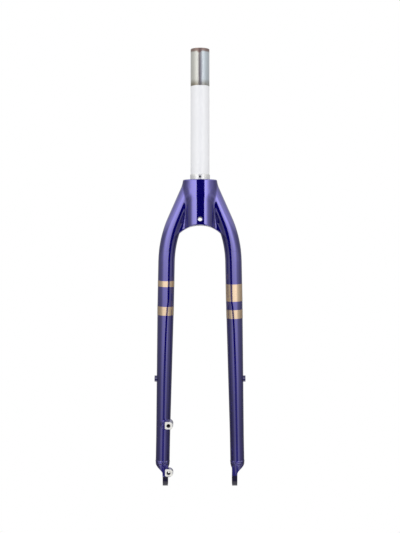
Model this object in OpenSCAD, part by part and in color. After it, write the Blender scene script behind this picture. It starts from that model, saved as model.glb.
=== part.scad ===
// Rigid steel bicycle fork for a front disc brake: steerer tube, crown, two bent and tapered
// blades, two cast fork ends with open axle slots, brake posts and threaded rack bosses.
// Millimetres. The steerer axis is +Z, the front of the bicycle is +Y and the rider's left is
// -X. The origin is on the steerer axis, on the top face of the crown.

/* [Steerer tube] */
// Outer diameter of the steerer tube
steerer_d = 28.6; // [25:0.1:32]
// Bore of the steerer tube above its butt
steerer_bore_d = 25.4; // [21:0.1:26]
// Length of the steerer tube above the crown
steerer_length = 198.5; // [120:0.5:300]
// Wall of the thickened lower end of the steerer tube
butt_wall = 2.4; // [1.8:0.1:4]
// Height above the crown at which the thick wall ends
butt_height = 70; // [30:5:100]
// Length over which the thick wall thins out
butt_taper_length = 30; // [10:5:60]
// Length of bare steel at the top of the steerer tube
bare_length = 54; // [20:1:100]
// Diameter of the seat for the headset crown race
race_seat_d = 30; // [26:0.1:34]
// Height of the crown race seat
race_seat_height = 8; // [5:0.5:14]
// Diameter of the vent hole in the rear of the race seat
vent_hole_d = 3.4; // [2:0.1:5]
// Chamfer on the turned edges of the steerer tube
steerer_chamfer = 0.5; // [0.2:0.1:1]

/* [Crown] */
// Width of the oval crown body
crown_width = 51.5; // [46:0.5:62]
// Depth of the oval crown body, front to rear
crown_depth = 38; // [34:0.5:46]
// Radius of the rounded front and rear faces of the crown body
crown_face_r = 35; // [28:1:60]
// Chamfer around the top face of the crown
crown_chamfer = 0.8; // [0.3:0.1:2]
// Height of the crown body at its middle, above the arch
crown_height = 69; // [55:0.5:80]
// Radius of the arch over the tyre
arch_r = 46; // [40:0.5:54]
// Thickness of the webs between the crown body and the blades
web_thickness = 19; // [12:0.5:22]
// How far down the webs reach, as a share of the drop to the lower end of the bend
web_reach = 0.75; // [0.6:0.05:0.9]
// Diameter of the mudguard bolt hole through the crown
crown_bolt_d = 6.5; // [5:0.1:8]
// Height of the bolt hole's centre above the arch
crown_bolt_height = 9; // [6:0.5:14]
// Size of the brazed fillet between crown and blade
crown_fillet = 1.6; // [0.8:0.1:3]

/* [Blades] */
// Distance from the crown's top face to the wheel axle
axle_to_crown = 465; // [400:1:500]
// Forward offset of the wheel axle from the steerer axis
fork_offset = 46; // [20:1:60]
// Outer diameter of a blade at its top
blade_top_d = 25.4; // [22:0.1:28]
// Outer diameter of a blade at its lower end
blade_end_d = 21.7; // [18:0.1:25]
// Wall of the blade tube
blade_wall = 1.3; // [0.9:0.1:2]
// Angle between the shoulder of a blade and the steerer
shoulder_angle = 24; // [20:0.5:28]
// Angle by which the straight legs spread apart
leg_splay = 1.28; // [0.5:0.01:2]
// Radius of the bend on the blade's centre line
bend_r = 164; // [140:1:190]
// Distance from the crown's top face down to the lower end of the bend
bend_end_drop = 124.6; // [115:0.1:140]
// Distance from the crown's top face down to where the taper starts
taper_start_drop = 191; // [160:1:260]
// Distance from the crown's top face down to where the taper ends
taper_end_drop = 397; // [330:1:420]

/* [Fork ends] */
// Distance between the faces that clamp the wheel hub
hub_spacing = 100; // [90:1:110]
// Width of the axle slots
axle_slot_width = 9; // [8:0.1:12]
// Thickness of the fork end plates
plate_thickness = 8; // [6:0.1:10]
// Radius of the rounded fork tip around the axle
tip_r = 11; // [9.5:0.1:14]
// Length from the end of the blade tube down to the axle
fork_end_length = 28.5; // [26:0.5:36]
// Distance from the hub face outwards to the blade's centre line at its lower end
blade_outset = 8.2; // [6:0.1:10]
// Depth of the recess for the quick-release nut in the outer face
nut_recess_depth = 1; // [0.4:0.1:2]
// Radius of the recess for the quick-release nut
nut_recess_r = 8.6; // [7:0.1:9]
// Height of the round shoulder under the blade tube, before it draws in
shoulder_height = 2; // [1:0.5:4]
// Length over which the shoulder draws in on the hub side
neck_inner_length = 11; // [8:0.5:16]
// Length over which the shoulder draws in on the outer side
neck_outer_length = 16.5; // [14:0.5:22]
// Length of the plug that enters the blade tube
plug_length = 12; // [6:1:20]
// Height of the weld bead around the joint of blade and fork end
bead_height = 0.3; // [0.1:0.1:1]
// Width of the weld bead around the joint of blade and fork end
bead_width = 4; // [2:0.5:6]

/* [Brake posts] */
// Distance between the two brake bolt holes
post_spacing = 74.2; // [60:0.1:80]
// Distance from the axle up to the lower brake bolt hole, along the leg
post_rise = 14.6; // [13:0.1:20]
// Distance of the brake bolt holes from the fork's middle plane
post_x = 48.6; // [46:0.1:52]
// Distance from the leg's centre line back to the post faces
post_reach = 21; // [18:0.5:26]
// Width of a post face, side to side
post_width = 14.3; // [12:0.1:16]
// Height of a post face
post_height = 12.2; // [10:0.1:14]
// Diameter of the threaded brake bolt holes
post_hole_d = 6; // [5:0.1:6.5]
// Depth of the threaded brake bolt holes
post_hole_depth = 11; // [8:0.5:11.5]
// Diameter of the flared foot of the upper post on the blade
post_foot_d = 20.5; // [18:0.5:26]
// Distance from the face of the upper post back to where its foot starts to flare
post_foot_setback = 3; // [2:0.5:6]
// Distance by which the foot's axis lies outwards of the bolt hole
post_foot_shift = 5; // [0:0.5:8]
// Distance of the lower post's rib from the post face and outline
rib_inset = 2; // [0.5:0.5:4]

/* [Rack bosses] */
// Distance from the crown's top face down to the rack bosses, along the leg
boss_drop = 306.5; // [250:0.5:330]
// Diameter of the head of a rack boss
boss_d = 9.6; // [8:0.1:12]
// Height of the head above the blade's side
boss_height = 3.3; // [1.5:0.1:6]
// Diameter of the shank that passes through the blade wall
boss_shank_d = 7; // [6.2:0.1:7.6]
// Length of the shank inside the blade
boss_shank_length = 6; // [4:0.5:8]
// Diameter of the threaded hole in a rack boss
boss_hole_d = 5; // [4:0.1:5.5]

/* [Bands] */
// Thickness of the coloured band film
band_film = 0.12; // [0.08:0.01:0.3]
// Clearance between the band film and the blade
band_clearance = 0.01; // [0.005:0.005:0.05]
// Distance from the crown's top face down to the right upper band
band_drop = 158.6; // [140:0.1:200]
// How much higher the bands of the left blade sit
band_left_rise = 5; // [0:0.5:20]
// Height of the right upper band
upper_band_height = 26.5; // [10:0.5:40]
// Height of the left upper band, whose top edge leads the lower band by the same distance
left_band_height = 9; // [5:0.5:26]
// Gap between the upper and the lower band
band_gap = 13; // [5:0.5:30]
// Height of the lower bands
lower_band_height = 13.5; // [5:0.5:30]

/* [Hidden] */
$fn = 96;

paint = "#3a2a8c";
bare_steel = "#b9bdc0";
white_coat = "#eef0f1";
gold = "#c79a63";

// Length by which a cutting shape runs past what it cuts, and tube stretches overlap
over = 1;
// Radius by which the straight stretches of a blade stand proud of its bend
bend_step = 0.02;
// Distance by which an outline clears the round bar that it trims
trim_margin = 0.25;

steerer_r = steerer_d / 2;
steerer_bore_r = steerer_bore_d / 2;
butt_bore_r = steerer_r - butt_wall;
race_seat_r = race_seat_d / 2;

arch_z = -crown_height;
arch_centre_z = arch_z - arch_r;
crown_bolt_z = arch_z + crown_bolt_height;
fillet_top_z = -3 * crown_fillet;
web_foot_drop = web_reach * bend_end_drop;

// The legs lie in a plane that leans forward about the X axis, through the origin. Heights
// in that plane are measured down from the crown, so they are negative Z there.
leg_tilt = asin(fork_offset / axle_to_crown);
blade_end_drop = axle_to_crown - fork_end_length;
blade_end_x = hub_spacing / 2 + blade_outset;
leg_length = (blade_end_drop - bend_end_drop) / cos(leg_splay);
bend_end_x = blade_end_x - (blade_end_drop - bend_end_drop) * tan(leg_splay);
bend_x = bend_end_x - bend_r * cos(leg_splay);
bend_z = -bend_end_drop - bend_r * sin(leg_splay);
bend_start_x = bend_x + bend_r * cos(shoulder_angle);
bend_start_z = bend_z + bend_r * sin(shoulder_angle);
shoulder_length = (over - bend_start_z) / cos(shoulder_angle) + over;
web_head_z = bend_start_z / 2;
plate_root_z = -blade_end_drop - fork_end_length / 4;

blade_top_r = blade_top_d / 2;
blade_end_r = blade_end_d / 2;
taper_start_run = (blade_end_drop - taper_start_drop) / cos(leg_splay);
taper_end_run = (blade_end_drop - taper_end_drop) / cos(leg_splay);

post_r = post_height / 2;
post_face_y = -post_reach;
lower_post_z = -axle_to_crown + post_rise;
upper_post_z = lower_post_z + post_spacing;

boss_hole_r = boss_hole_d / 2;

// Centre line of the right blade, as a distance from the middle plane, at a drop on its leg
function leg_x(drop) = blade_end_x - (blade_end_drop - drop) * tan(leg_splay);

// Outer radius of a blade at a distance up from its lower end
function blade_r(run) =
    run >= taper_start_run ? blade_top_r :
    run <= taper_end_run ? blade_end_r :
    blade_end_r + (blade_top_r - blade_end_r) * (run - taper_end_run)
        / (taper_start_run - taper_end_run);

// Distance up from the lower end of a blade that belongs to a drop on its leg
function leg_run(drop) = (blade_end_drop - drop) / cos(leg_splay);

// Points of a smooth S-shaped step from one place to another, in an outline
function s_step(from, to, steps = 10) =
    [for (i = [0:steps])
        [from.x + (to.x - from.x) * (1 - cos(180 * i / steps)) / 2,
         from.y + (to.y - from.y) * i / steps]];

// Leans its children forward into the plane of the legs
module in_leg_plane() {
    rotate([leg_tilt, 0, 0]) children();
}

// Puts its children on the right blade's centre line at its lower end, +Z up along the leg
module on_right_leg() {
    translate([blade_end_x, 0, -blade_end_drop]) rotate([0, -leg_splay, 0]) children();
}

// Mirrors its children from the right side of the fork to the left
module left_side() {
    mirror([1, 0, 0]) children();
}

// Solid form of the right blade, with its surface moved outwards by grow
module blade_form(grow = 0) {
    translate([bend_start_x, 0, bend_start_z]) rotate([0, -shoulder_angle, 0])
        translate([0, 0, -over]) cylinder(r = blade_top_r + grow, h = shoulder_length);
    translate([bend_x, 0, bend_z]) rotate([90, 0, 0]) rotate([0, 0, leg_splay])
        rotate_extrude(angle = shoulder_angle - leg_splay)
            translate([bend_r, 0]) circle(r = blade_top_r + grow - bend_step);
    on_right_leg() rotate_extrude()
        polygon([[0, 0],
                 [blade_end_r + grow, 0],
                 [blade_end_r + grow, taper_end_run],
                 [blade_top_r + grow, taper_start_run],
                 [blade_top_r + grow, leg_length + over],
                 [0, leg_length + over]]);
}

// Oval body of the crown as a column, with its surface moved outwards by grow
module crown_column(from_z, to_z, grow = 0, chamfer = 0) {
    face_offset = crown_face_r - crown_depth / 2;
    intersection() {
        translate([0, face_offset, 0])
            chamfered_bar(crown_face_r + grow, from_z, to_z, chamfer);
        translate([0, -face_offset, 0])
            chamfered_bar(crown_face_r + grow, from_z, to_z, chamfer);
        chamfered_bar(crown_width / 2 + grow, from_z, to_z, chamfer);
    }
}

// Upright round bar between two heights, with its top edge chamfered
module chamfered_bar(r, from_z, to_z, chamfer) {
    translate([0, 0, from_z]) cylinder(r = r, h = to_z - chamfer - from_z);
    if (chamfer > 0)
        translate([0, 0, to_z - chamfer]) cylinder(r1 = r, r2 = r - chamfer, h = chamfer);
}

// Cylinder across the fork that cuts the arch over the tyre
module arch_cut() {
    translate([0, 0, arch_centre_z]) rotate([90, 0, 0])
        cylinder(r = arch_r, h = 2 * crown_depth, center = true);
}

// Mudguard bolt hole from front to rear through crown and steerer
module crown_bolt_cut() {
    translate([0, 0, crown_bolt_z]) rotate([90, 0, 0])
        cylinder(d = crown_bolt_d, h = 2 * crown_depth, center = true);
}

// Butted steerer tube with its turned crown race seat
module steerer_tube() {
    coat_top_z = steerer_length - bare_length;
    difference() {
        union() {
            color(bare_steel) translate([0, 0, coat_top_z]) {
                cylinder(r = steerer_r, h = bare_length - steerer_chamfer);
                translate([0, 0, bare_length - steerer_chamfer])
                    cylinder(r1 = steerer_r, r2 = steerer_r - steerer_chamfer,
                             h = steerer_chamfer);
            }
            color(white_coat) translate([0, 0, race_seat_height])
                cylinder(r = steerer_r, h = coat_top_z - race_seat_height);
            color(bare_steel) {
                cylinder(r = race_seat_r, h = race_seat_height - steerer_chamfer);
                translate([0, 0, race_seat_height - steerer_chamfer])
                    cylinder(r1 = race_seat_r, r2 = race_seat_r - steerer_chamfer,
                             h = steerer_chamfer);
                translate([0, 0, arch_centre_z])
                    cylinder(r = steerer_r, h = -arch_centre_z);
            }
        }
        color(bare_steel) {
            rotate_extrude()
                polygon([[0, arch_centre_z - over],
                         [butt_bore_r, arch_centre_z - over],
                         [butt_bore_r, butt_height],
                         [steerer_bore_r, butt_height + butt_taper_length],
                         [steerer_bore_r, steerer_length + over],
                         [0, steerer_length + over]]);
            arch_cut();
            crown_bolt_cut();
            translate([0, 0, race_seat_height / 2]) rotate([90, 0, 0])
                cylinder(d = vent_hole_d, h = steerer_d);
        }
    }
}

// Web between the crown body and the right blade, above the arch
module right_web() {
    web_foot_angle = asin((-web_foot_drop - bend_z) / bend_r);
    shoulder_x = bend_start_x - (blade_top_r - web_head_z) * tan(shoulder_angle) / 2;
    difference() {
        in_leg_plane() rotate([90, 0, 0])
            linear_extrude(web_thickness, center = true)
                polygon([[0, web_head_z],
                         [shoulder_x, web_head_z],
                         [bend_start_x, bend_start_z],
                         [bend_x + bend_r * cos(web_foot_angle), -web_foot_drop],
                         [0, -web_foot_drop]]);
        in_leg_plane() blade_form();
    }
}

// Cast crown: oval body with a chamfered top, side webs, the arch, and the steerer's bore
module crown() {
    color(paint) difference() {
        union() {
            crown_column(arch_centre_z, 0, chamfer = crown_chamfer);
            right_web();
            left_side() right_web();
        }
        translate([0, 0, arch_centre_z - over])
            cylinder(r = steerer_r, h = over - arch_centre_z + over);
        arch_cut();
        crown_bolt_cut();
    }
}

// Right blade: one bent and tapered tube, mitred to the crown body, with the boss hole
module right_blade_form() {
    color(paint) difference() {
        in_leg_plane() difference() {
            blade_form();
            blade_form(-blade_wall);
            on_right_leg() translate([0, 0, -over])
                cylinder(r = blade_end_r - blade_wall, h = 2 * over);
            boss_axis() cylinder(d = boss_shank_d, h = blade_top_d);
        }
        crown_column(arch_centre_z, blade_top_d);
    }
}

module left_blade() {
    left_side() right_blade_form();
}

module right_blade() {
    right_blade_form();
}

// Brazed fillet that runs around the mitre between the crown body and the right blade
module crown_fillet_form() {
    color(paint) difference() {
        intersection() {
            in_leg_plane() blade_form(crown_fillet);
            crown_column(crown_bolt_z, fillet_top_z, crown_fillet);
        }
        in_leg_plane() blade_form();
        crown_column(arch_centre_z, over);
        right_web();
    }
}

module left_crown_fillet() {
    left_side() crown_fillet_form();
}

module right_crown_fillet() {
    crown_fillet_form();
}

// Side view of a fork end plate, with X towards the front and Y up
module plate_outline() {
    translate([0, -axle_to_crown]) circle(r = tip_r);
    polygon([[-tip_r, -axle_to_crown],
             [tip_r, -axle_to_crown],
             [blade_end_r - blade_wall, plate_root_z],
             [-blade_end_r + blade_wall, plate_root_z]]);
}

// Rear view of the right fork end: a round shoulder that draws in to the plate
module neck_outline() {
    hub_x = hub_spacing / 2;
    outer_x = hub_x + plate_thickness;
    shoulder_z = -blade_end_drop - shoulder_height;
    inner_x = blade_end_x - blade_end_r - trim_margin;
    outline_x = blade_end_x + blade_end_r + trim_margin;
    polygon(concat(
        [[blade_end_x - blade_end_d, -blade_end_drop + over]],
        s_step([inner_x, shoulder_z], [hub_x, shoulder_z - neck_inner_length]),
        [[hub_x, -axle_to_crown], [outer_x, -axle_to_crown]],
        s_step([outer_x, shoulder_z - neck_outer_length], [outline_x, shoulder_z]),
        [[blade_end_x + blade_end_d, -blade_end_drop + over]]));
}

// Cast right fork end without its brake post: plug, shoulder, plate, slot and nut recess
module fork_end_form() {
    hub_x = hub_spacing / 2;
    difference() {
        union() {
            on_right_leg() cylinder(r = blade_end_r - blade_wall, h = plug_length);
            intersection() {
                on_right_leg() translate([0, 0, -fork_end_length])
                    cylinder(r = blade_end_r, h = fork_end_length);
                rotate([90, 0, 0]) linear_extrude(blade_top_d, center = true) neck_outline();
            }
            translate([hub_x, 0, 0]) rotate([90, 0, 90])
                linear_extrude(plate_thickness) plate_outline();
        }
        translate([hub_x - over, 0, -axle_to_crown]) rotate([0, 90, 0])
            cylinder(d = axle_slot_width, h = plate_thickness + 2 * over);
        translate([hub_x - over, -axle_slot_width / 2, -axle_to_crown - 2 * tip_r])
            cube([plate_thickness + 2 * over, axle_slot_width, 2 * tip_r]);
        translate([hub_x + plate_thickness - nut_recess_depth, 0, -axle_to_crown])
            rotate([0, 90, 0]) cylinder(r = nut_recess_r, h = nut_recess_depth + over);
    }
}

// Post outline in rear view: flat on the outer side and round on the inner side
module post_outline(grow = 0) {
    flat_x = post_width / 2 + grow;
    round_x = -post_width / 2 + post_r;
    translate([round_x, 0]) circle(r = post_r + grow);
    translate([round_x, -post_r - grow]) square([flat_x - round_x, post_height + 2 * grow]);
}

// Straight bar of the post outline at a height on the right leg, from its face inwards
module post_bar(height, length) {
    translate([post_x, post_face_y, height]) rotate([-90, 0, 0])
        linear_extrude(length) mirror([0, 1]) post_outline();
}

// Threaded brake bolt hole at a height on the right leg
module post_hole(height) {
    translate([post_x, post_face_y - over, height]) rotate([-90, 0, 0])
        cylinder(d = post_hole_d, h = post_hole_depth + over);
}

module right_fork_end() {
    color(paint) in_leg_plane() fork_end_form();
}

// Left fork end, cast in one with the lower brake post and the rib that carries it
module left_fork_end() {
    hub_x = hub_spacing / 2;
    rib_back_y = post_face_y + rib_inset;
    rib_r = post_r - rib_inset / 2;
    color(paint) left_side() in_leg_plane() difference() {
        union() {
            fork_end_form();
            post_bar(lower_post_z, post_hole_depth);
            translate([hub_x, 0, 0]) rotate([90, 0, 90]) linear_extrude(plate_thickness)
                polygon([[-blade_end_r + 2 * blade_wall, -blade_end_drop - bead_width],
                         [rib_back_y, lower_post_z + rib_r],
                         [rib_back_y, lower_post_z - rib_r],
                         [-tip_r + rib_inset / 2, lower_post_z - post_height],
                         [-axle_slot_width, lower_post_z]]);
        }
        post_hole(lower_post_z);
    }
}

// Weld bead around the joint between a blade and its fork end
module fork_end_weld_form() {
    bead_top_r = blade_end_r + bead_height;
    color(paint) in_leg_plane() on_right_leg() rotate_extrude()
        polygon([[blade_end_r, -bead_width / 2], [bead_top_r, -bead_width / 6],
                 [bead_top_r, bead_width / 6], [blade_end_r, bead_width / 2]]);
}

module left_fork_end_weld() {
    left_side() fork_end_weld_form();
}

module right_fork_end_weld() {
    fork_end_weld_form();
}

// Upper brake post on a flared foot that is saddled on the left blade
module upper_brake_post() {
    foot_start_y = post_face_y + post_foot_setback;
    color(paint) left_side() in_leg_plane() difference() {
        union() {
            post_bar(upper_post_z, post_reach);
            translate([post_x + post_foot_shift, foot_start_y, upper_post_z])
                rotate([-90, 0, 0])
                    cylinder(r1 = post_r, r2 = post_foot_d / 2, h = -foot_start_y);
        }
        blade_form();
        post_hole(upper_post_z);
    }
}

// Puts its children on the axis of the right rack boss, +Z outwards from the blade's middle
module boss_axis() {
    translate([leg_x(boss_drop), 0, -boss_drop]) rotate([0, 90, 0]) children();
}

// Threaded rack boss brazed through the outer wall of the right blade
module rack_boss_form() {
    wall_r = blade_r(leg_run(boss_drop));
    shank_start = wall_r - boss_shank_length;
    color(bare_steel) in_leg_plane() difference() {
        union() {
            boss_axis() translate([0, 0, shank_start])
                cylinder(d = boss_shank_d, h = boss_shank_length);
            difference() {
                boss_axis() cylinder(d = boss_d, h = wall_r + boss_height);
                blade_form();
            }
        }
        boss_axis() translate([0, 0, shank_start - over])
            cylinder(d = boss_hole_d, h = boss_shank_length + boss_height + 2 * over);
    }
}

module left_rack_boss() {
    left_side() rack_boss_form();
}

module right_rack_boss() {
    rack_boss_form();
}

// Coloured band around the right blade, between two drops on its leg
module band_form(top_drop, height) {
    top_run = leg_run(top_drop);
    foot_run = leg_run(top_drop + height);
    knee_run = max(foot_run, min(top_run, taper_start_run));
    runs = knee_run > foot_run && knee_run < top_run
        ? [foot_run, knee_run, top_run] : [foot_run, top_run];
    inner_edge = [for (run = runs) [blade_r(run) + band_clearance, run]];
    outer_edge = [for (i = [len(runs) - 1:-1:0]) inner_edge[i] + [band_film, 0]];
    color(gold) in_leg_plane() on_right_leg() rotate_extrude()
        polygon(concat(inner_edge, outer_edge));
}

lower_band_drop = band_drop + upper_band_height + band_gap;

module left_upper_band() {
    left_side() band_form(band_drop - band_left_rise, left_band_height);
}

module left_lower_band() {
    left_side() band_form(lower_band_drop - band_left_rise, lower_band_height);
}

module right_upper_band() {
    band_form(band_drop, upper_band_height);
}

module right_lower_band() {
    band_form(lower_band_drop, lower_band_height);
}

steerer_tube();
crown();
left_blade();
right_blade();
left_crown_fillet();
right_crown_fillet();
left_fork_end();
right_fork_end();
left_fork_end_weld();
right_fork_end_weld();
upper_brake_post();
left_rack_boss();
right_rack_boss();
left_upper_band();
left_lower_band();
right_upper_band();
right_lower_band();
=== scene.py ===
"""Studio picture of a rigid steel bicycle fork, seen from behind.

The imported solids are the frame. Each sub-assembly is a class that dresses its solids and
adds the small forms that the solids leave plain. Its sizes are in millimetres unless its
docstring says otherwise, and meshes are in metres, with +Z up along the steerer, +Y to the
front of the bicycle and -X to the rider's left.
"""

import logging
import math
from dataclasses import dataclass, field
from enum import Enum
from functools import partial, reduce
from typing import NamedTuple, Protocol

import bmesh
import bpy
import numpy as np
from bmesh.types import BMEdge, BMesh, BMVert
from bpy.types import Material, Object
from mathutils import Matrix, Vector


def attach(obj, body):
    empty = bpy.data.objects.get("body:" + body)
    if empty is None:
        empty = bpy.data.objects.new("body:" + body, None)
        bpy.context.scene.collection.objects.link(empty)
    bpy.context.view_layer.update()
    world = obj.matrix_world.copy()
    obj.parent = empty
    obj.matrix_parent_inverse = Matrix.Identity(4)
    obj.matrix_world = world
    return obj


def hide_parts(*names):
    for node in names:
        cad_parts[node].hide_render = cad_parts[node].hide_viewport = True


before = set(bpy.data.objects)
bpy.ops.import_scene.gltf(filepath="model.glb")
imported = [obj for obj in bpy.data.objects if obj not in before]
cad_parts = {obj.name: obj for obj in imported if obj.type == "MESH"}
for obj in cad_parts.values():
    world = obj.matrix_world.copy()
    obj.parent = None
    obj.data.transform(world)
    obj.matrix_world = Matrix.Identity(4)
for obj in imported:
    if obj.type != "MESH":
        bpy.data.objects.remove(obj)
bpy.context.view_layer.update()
LOG = logging.getLogger("fork")
MM = 0.001
LEG_TILT = math.asin(46.0 / 465.0)
LEG_TURN = Matrix.Rotation(LEG_TILT, 4, "X")


class Tone(Enum):
    """Colours of the fork and its studio, as linear red, green and blue."""

    VIOLET = (0.026, 0.011, 0.280)
    VIOLET_LIGHT = (0.038, 0.018, 0.340)
    VIOLET_DARK = (0.014, 0.006, 0.190)
    # Painted shade, laid on the undersides of the fork-end tips and on the rack bosses.
    PAINTED_SHADE = (0.012, 0.010, 0.028)
    SHADOW = (0.012, 0.010, 0.020)
    STEEL = (0.57, 0.565, 0.55)
    STEEL_COOL = (0.53, 0.57, 0.60)
    COOL_OXIDE = (0.47, 0.56, 0.63)
    WARM_OXIDE = (0.58, 0.57, 0.49)
    SEAM_BROWN = (0.20, 0.15, 0.12)
    HEAT_BROWN = (0.205, 0.125, 0.105)
    STAIN = (0.20, 0.17, 0.115)
    GROUND = (0.80, 0.80, 0.79)
    POST_FACE = (0.88, 0.87, 0.81)
    POST_RINGS = (0.74, 0.73, 0.68)
    WHITE_COAT = (0.83, 0.835, 0.86)
    GREY_COAT = (0.66, 0.665, 0.68)
    BAND = (0.80, 0.56, 0.34)
    BAND_BRIGHT = (0.92, 0.66, 0.42)
    BAND_WORN = (0.46, 0.29, 0.16)
    THREAD_DARK = (0.10, 0.10, 0.11)
    THREAD_LIGHT = (0.24, 0.24, 0.25)
    CARD_BLUE = (0.004, 0.004, 0.200)
    FLOOR = (0.8, 0.8, 0.8)
    WHITE = (1.0, 1.0, 1.0)


class NodeKind(Enum):
    """Kinds of shader node that the finishes are built from."""

    COORDS = "ShaderNodeTexCoord"
    MAPPING = "ShaderNodeMapping"
    NOISE = "ShaderNodeTexNoise"
    VORONOI = "ShaderNodeTexVoronoi"
    MIX = "ShaderNodeMix"
    MATH = "ShaderNodeMath"
    VECTOR = "ShaderNodeVectorMath"
    SEPARATE = "ShaderNodeSeparateXYZ"
    BUMP = "ShaderNodeBump"
    RANGE = "ShaderNodeMapRange"
    PATH = "ShaderNodeLightPath"
    ATTRIBUTE = "ShaderNodeAttribute"
    EMISSION = "ShaderNodeEmission"
    DIFFUSE = "ShaderNodeBsdfDiffuse"
    BLEND = "ShaderNodeMixShader"


Point = tuple[float, float, float]
Span = tuple[float, float]
Row = tuple[float, ...]
Socket = bpy.types.NodeSocket
Value = Socket | float | Point | Vector | Tone


class Graph:
    """Node tree of a material or world, with short calls that add and join its nodes."""

    def __init__(self, tree: bpy.types.NodeTree) -> None:
        """Takes the tree to which nodes are added."""
        self.tree = tree

    def feed(self, socket: Socket, value: Value) -> None:
        """Links a socket to another one, or sets its value.

        Args:
            socket: Input socket.
            value: Output socket, number, vector or colour.
        """
        if isinstance(value, Socket):
            self.tree.links.new(value, socket)
        else:
            socket.default_value = (*value.value, 1.0) if isinstance(value, Tone) else value

    def node(self, kind: NodeKind, inputs: dict[int | str, Value], output: int | str = 0,
             **settings: object) -> Socket:
        """Adds a node and feeds its inputs.

        Args:
            kind: Kind of node.
            inputs: Values of its inputs, by number or name.
            output: Number or name of the output that is used.
            **settings: Property names of the node with their values.

        Returns:
            The output's socket.
        """
        node = self.tree.nodes.new(kind.value)
        for key, value in settings.items():
            setattr(node, key, value)
        for key, value in inputs.items():
            self.feed(node.inputs[key], value)
        return node.outputs[output]

    def place(self) -> Socket:
        """Returns the surface point on Object coordinates, in metres."""
        return self.node(NodeKind.COORDS, {}, "Object")

    def parts(self, vector: Socket) -> tuple[Socket, ...]:
        """Returns the X, Y and Z of a vector or colour."""
        return tuple(self.node(NodeKind.SEPARATE, {0: vector}).node.outputs)

    def vector(self, operation: str, first: Socket, second: Point = (0.0, 0.0, 0.0)) -> Socket:
        """Returns a vector, or its length, after an operation such as SUBTRACT or LENGTH."""
        return self.node(NodeKind.VECTOR, {0: first, 1: second},
                         "Value" if operation == "LENGTH" else "Vector", operation=operation)

    def math(self, operation: str, first: Value, second: Value = 0.0,
             clamp: bool = False) -> Socket:
        """Returns the result of an operation on numbers, such as ADD, kept from 0 to 1 or not."""
        return self.node(NodeKind.MATH, {0: first, 1: second}, operation=operation,
                         use_clamp=clamp)

    def total(self, *numbers: Value) -> Socket:
        """Returns the sum of some numbers."""
        return reduce(partial(self.math, "ADD"), numbers)

    def product(self, *numbers: Value) -> Socket:
        """Returns the product of some numbers."""
        return reduce(partial(self.math, "MULTIPLY"), numbers)

    def step(self, value: Socket, start: float, end: float) -> Socket:
        """Makes a smooth rise from 0 to 1 as a value goes from start to end.

        Args:
            value: Value that is read.
            start: Value at which the rise starts.
            end: Value at which the rise ends. It may be less than start.

        Returns:
            The rise's socket.
        """
        low, high, first, last = (start, end, 0.0, 1.0) if start < end else (end, start, 1.0, 0.0)
        return self.node(NodeKind.RANGE, {"Value": value, "From Min": low, "From Max": high,
                                          "To Min": first, "To Max": last},
                         interpolation_type="SMOOTHSTEP")

    def edge(self, value: Socket, start: float, end: float) -> Socket:
        """Returns a step of a value in metres, with its start and end in millimetres."""
        return self.step(value, start * MM, end * MM)

    def noise(self, scale: float, detail: float = 3.0, roughness: float = 0.5,
              stretch: Point = (1.0, 1.0, 1.0)) -> Socket:
        """Adds noise on Object coordinates.

        Args:
            scale: Cells to the metre.
            detail: Octaves of finer noise.
            roughness: Strength of the finer noise.
            stretch: Factors on the three axes before the noise is read.

        Returns:
            The noise value's socket, about 0.5 in the mean.
        """
        place = self.node(NodeKind.MAPPING, {"Vector": self.place(), "Scale": stretch})
        return self.node(NodeKind.NOISE, {"Vector": place, "Scale": scale, "Detail": detail,
                                          "Roughness": roughness})

    def drift(self, scale: float, detail: float, width: float) -> Socket:
        """Returns noise that wanders about 0, over a width in millimetres."""
        return self.product(self.math("SUBTRACT", self.noise(scale, detail), 0.5), width * MM)

    def mix(self, share: Value, first: Value, second: Value) -> Socket:
        """Returns a blend of two colours, by the share of the second."""
        return self.node(NodeKind.MIX, {0: share, 6: first, 7: second}, 2, data_type="RGBA")

    def blend(self, share: Value, first: Value, second: Value) -> Socket:
        """Returns a blend of two numbers, by the share of the second."""
        return self.node(NodeKind.MIX, {0: share, 2: first, 3: second}, data_type="FLOAT")

    def bump(self, height: Socket, depth: float, strength: Value = 1.0) -> Socket:
        """Returns the surface normal of a height pattern, with its depth in millimetres."""
        return self.node(NodeKind.BUMP, {"Height": height, "Distance": depth * MM,
                                         "Strength": strength})

    def seen(self) -> Socket:
        """Tells the rays that show the studio from those that only light it.

        Returns:
            1 for rays of the camera, of gloss and of glass, and 0 for others.
        """
        rays = self.node(NodeKind.PATH, {}).node.outputs
        share = self.math("ADD", rays["Is Camera Ray"], rays["Is Glossy Ray"], True)
        return self.math("ADD", share, rays["Is Transmission Ray"], True)


class Surface(Graph):
    """Graph of a new material."""

    def __init__(self, name: str) -> None:
        """Makes the material.

        Args:
            name: Name of the new material.
        """
        self.material = bpy.data.materials.new(name)
        self.material.use_nodes = True
        super().__init__(self.material.node_tree)

    def set(self, **values: Value) -> None:
        """Feeds sockets of the main shader by name, with _ for a space."""
        for key, value in values.items():
            self.feed(self.tree.nodes["Principled BSDF"].inputs[key.replace("_", " ")], value)

    def show(self, shader: Socket) -> None:
        """Shows another shader in place of the main one."""
        self.feed(self.tree.nodes["Material Output"].inputs["Surface"], shader)


class Finish(Protocol):
    """A named finish that builds its material."""

    name: str

    def build(self) -> Material:
        """Returns the finish's material."""


@dataclass(frozen=True)
class LegPlace:
    """A place in the plane of the legs, which leans forward about the X axis."""

    x: float
    y: float
    z: float

    def point(self) -> Vector:
        """Returns the place in the frame, in metres."""
        return LEG_TURN @ Vector((self.x, self.y, self.z)) * MM


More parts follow.
